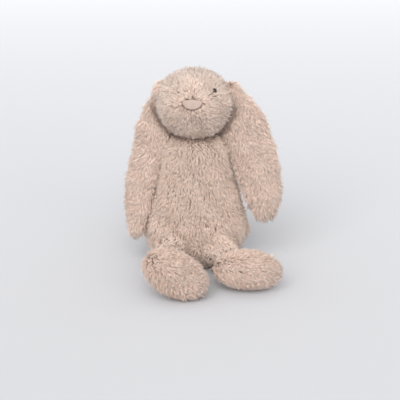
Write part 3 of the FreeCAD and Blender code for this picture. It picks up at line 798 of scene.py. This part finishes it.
NOSE_HALF_WIDTH = 10.9
NOSE_TOP = 3.2  # above the patch's middle
NOSE_BOTTOM = 7.6  # below it
FACE_ROUND = 37.5  # radius of the face that the patch lies on
SUEDE_THICK = 2.2


def nose_pad():
    """A puffy patch with a nearly flat top and a rounded point below."""
    across, up = nose_axes()
    form = bmesh.new()
    bmesh.ops.create_grid(form, x_segments=28, y_segments=18, size=1)
    for corner in form.verts:
        u, v = corner.co.x, corner.co.y
        # the square grid becomes a disc, then the patch's outline
        x, y = u * math.sqrt(1 - v * v / 2), v * math.sqrt(1 - u * u / 2)
        rim = min(1.0, math.hypot(x, y))
        puff = 1.1 * (1 - rim**2.6) + 0.25 * math.cos(x * 7) * (1 - rim)
        if y > 0:
            high = NOSE_TOP * y**0.8 * (1 + 0.1 * math.cos(math.tau * x))
        else:
            high = NOSE_BOTTOM * y
        wide = NOSE_HALF_WIDTH * x * (1 - 0.14 * max(0.0, -y))
        spot = NOSE + across * wide + up * (high - 0.4)
        # laid on the round of the face
        sag = FACE_ROUND - math.sqrt(max(1.0, FACE_ROUND**2 - wide**2 - high**2))
        corner.co = (spot + NOSE_WAY * (0.1 + puff - sag)) * MM
    bmesh.ops.recalc_face_normals(form, faces=form.faces[:])
    bmesh.ops.solidify(form, geom=form.faces[:], thickness=SUEDE_THICK * MM)
    bmesh.ops.recalc_face_normals(form, faces=form.faces[:])
    pad = as_object("nose_pad", form)
    finer = pad.modifiers.new("round", "SUBSURF")
    finer.levels = finer.render_levels = 1
    settle(pad)
    pad.data.polygons.foreach_set("use_smooth", [True] * len(pad.data.polygons))
    suede = Finish("nose_suede")
    broad, fine = suede.noise(0.006), suede.noise(0.0007, 2.0)
    suede.set(Base_Color=suede.mix(broad * 0.6 + fine * 0.4, linear(160, 140, 129), linear(184, 164, 153)))
    suede.set(Roughness=0.9, Sheen_Weight=0.5)
    suede.bump(fine, 0.35, 0.0002)
    pad.data.materials.append(suede.material)
    return pad


nose = nose_pad()
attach(nose, "head")
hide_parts("nose_patch")

BEAD_RADII = (2.9, 2.9, 2.8)
bead = Finish("eye_bead")
bead.set(Base_Color=bead.mix(bead.noise(0.002), linear(14, 10, 9), linear(26, 20, 18)), Roughness=0.12)
bead.set(Coat_Weight=0.4, Coat_Roughness=0.06)
for label, (place, way) in EYES.items():
    form = bmesh.new()
    turn = way.to_track_quat("Z", "Y").to_matrix().to_4x4()
    middle = Matrix.Translation((place + way * SIDES[label]["eye_rise"]) * MM)
    spot = middle @ turn @ Matrix.Diagonal((*BEAD_RADII, 1))
    bmesh.ops.create_uvsphere(form, u_segments=32, v_segments=20, radius=MM, matrix=spot)
    eye = as_object(f"eye_{label}_bead", form)
    eye.data.polygons.foreach_set("use_smooth", [True] * len(eye.data.polygons))
    eye.data.materials.append(bead.material)
    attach(eye, "head")
    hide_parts(f"eye_{label}")

# What each form stands for ----------------------------------------------------------------------------

# The body that each form rides, then the nodes that it replaces
TORSO_PANELS = ("torso_front", "torso_back_left", "torso_back_right", "seat_panel")
STANDS_FOR = {
    "torso": ("torso", *TORSO_PANELS, "torso_stuffing", "closing_thread"),
    "head": ("head", "head_gusset", "head_side_left", "head_side_right", "head_stuffing"),
    "tail": ("torso", "tail_skin", "tail_stuffing"),
}
LIMB_NODES = {
    "arm": ("outer", "inner", "stuffing"),
    "leg": ("skin", "stuffing"),
    "foot": ("upper", "sole", "stuffing"),
}
for label in SIDES:
    for limb, nodes in LIMB_NODES.items():
        STANDS_FOR[f"{limb}_{label}"] = (f"{limb}_{label}", *(f"{limb}_{label}_{node}" for node in nodes))
    STANDS_FOR[f"ear_root_{label}"] = (f"ear_root_{label}", f"ear_{label}_root")
    STANDS_FOR[f"ear_{label}"] = (f"ear_{label}", f"ear_{label}_lining", f"ear_{label}_back")
for name, (body, *nodes) in STANDS_FOR.items():
    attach(forms[name], body)
    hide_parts(*nodes)

MILKY = (linear(222, 221, 216), linear(236, 235, 231))  # undyed plastic
# Finishes of the nodes inside, which keep their own shapes, by material slot
HIDDEN = {
    "seam_cloth": cloth_finish("gathered_cloth", linear(120, 92, 78), linear(150, 122, 106)),
    "pouch_cloth": cloth_finish("pouch_cloth", linear(214, 210, 200), linear(232, 229, 221)),
    "pellets": cloth_finish("pellets", *MILKY, rough=0.4),
    "washer_plastic": cloth_finish("washer_plastic", *MILKY, rough=0.35),
}
slots = {entry["node"]: entry["material_slot"] for entry in frame["record"]["subparts"]}
for name, node in frame["nodes"].items():
    if slots[name] in HIDDEN:
        node.data.materials.clear()
        node.data.materials.append(HIDDEN[slots[name]].material)

# Room, light and camera -------------------------------------------------------------------------------

form = bmesh.new()
bmesh.ops.create_grid(form, x_segments=8, y_segments=8, size=8)
floor = as_object("floor", form)
paper = Finish("floor_paper")
# Painted light: the floor paper is darker near the camera and the toy, and lighter towards the back.
depth = paper.make("ShaderNodeSeparateXYZ", {}, {0: paper.place()})
far_light = Knob(paper, depth.socket.node.outputs[1]) * 0.3 + 0.25
painted_light_fade = paper.make("ShaderNodeClamp", {}, {0: far_light})
paper.set(Base_Color=paper.mix(painted_light_fade, linear(191, 191, 193), linear(228, 228, 230)), Roughness=0.9)
paper.set(Specular_IOR_Level=0.1)
floor.data.materials.append(paper.material)


def lamp(name, place, target, size, power):
    light = bpy.data.lights.new(name, "AREA")
    light.shape = "DISK"
    light.size = size
    light.energy = power
    thing = bpy.data.objects.new(name, light)
    thing.location = place
    thing.rotation_euler = (Vector(target) - Vector(place)).to_track_quat("-Z", "Y").to_euler()
    scene.collection.objects.link(thing)


lamp("fill", (0.9, -1.6, 0.9), (0, 0, 0.1), 1.4, 7)
sun = bpy.data.lights.new("key", "SUN")
sun.energy = 2.55
sun.angle = math.radians(55)
key = bpy.data.objects.new("key", sun)
key.rotation_euler = Vector((0.25, 1.0, -0.72)).to_track_quat("-Z", "Y").to_euler()
scene.collection.objects.link(key)
world = bpy.data.worlds.new("studio")
world.use_nodes = True
world.node_tree.nodes["Background"].inputs["Color"].default_value = (0.93, 0.94, 0.96, 1)
world.node_tree.nodes["Background"].inputs["Strength"].default_value = 0.85
scene.world = world

LOOK_AT = Vector((4.5, 0, 67)) * MM
ELEVATION = math.radians(18.4)
DISTANCE = 1.1  # metres
VIEW_HALF = 224  # half of what the camera takes in, across, where it looks
SENSOR = 36
camera = bpy.data.cameras.new("camera")
camera.sensor_width = SENSOR
camera.lens = SENSOR / (2 * (VIEW_HALF * MM) / DISTANCE)
camera.clip_start = 0.01
viewer = bpy.data.objects.new("camera", camera)
viewer.location = LOOK_AT + Vector((0, -math.cos(ELEVATION), math.sin(ELEVATION))) * DISTANCE
viewer.rotation_euler = (math.pi / 2 - ELEVATION, 0, 0)
scene.collection.objects.link(viewer)
scene.camera = viewer
scene.view_settings.view_transform = "Standard"
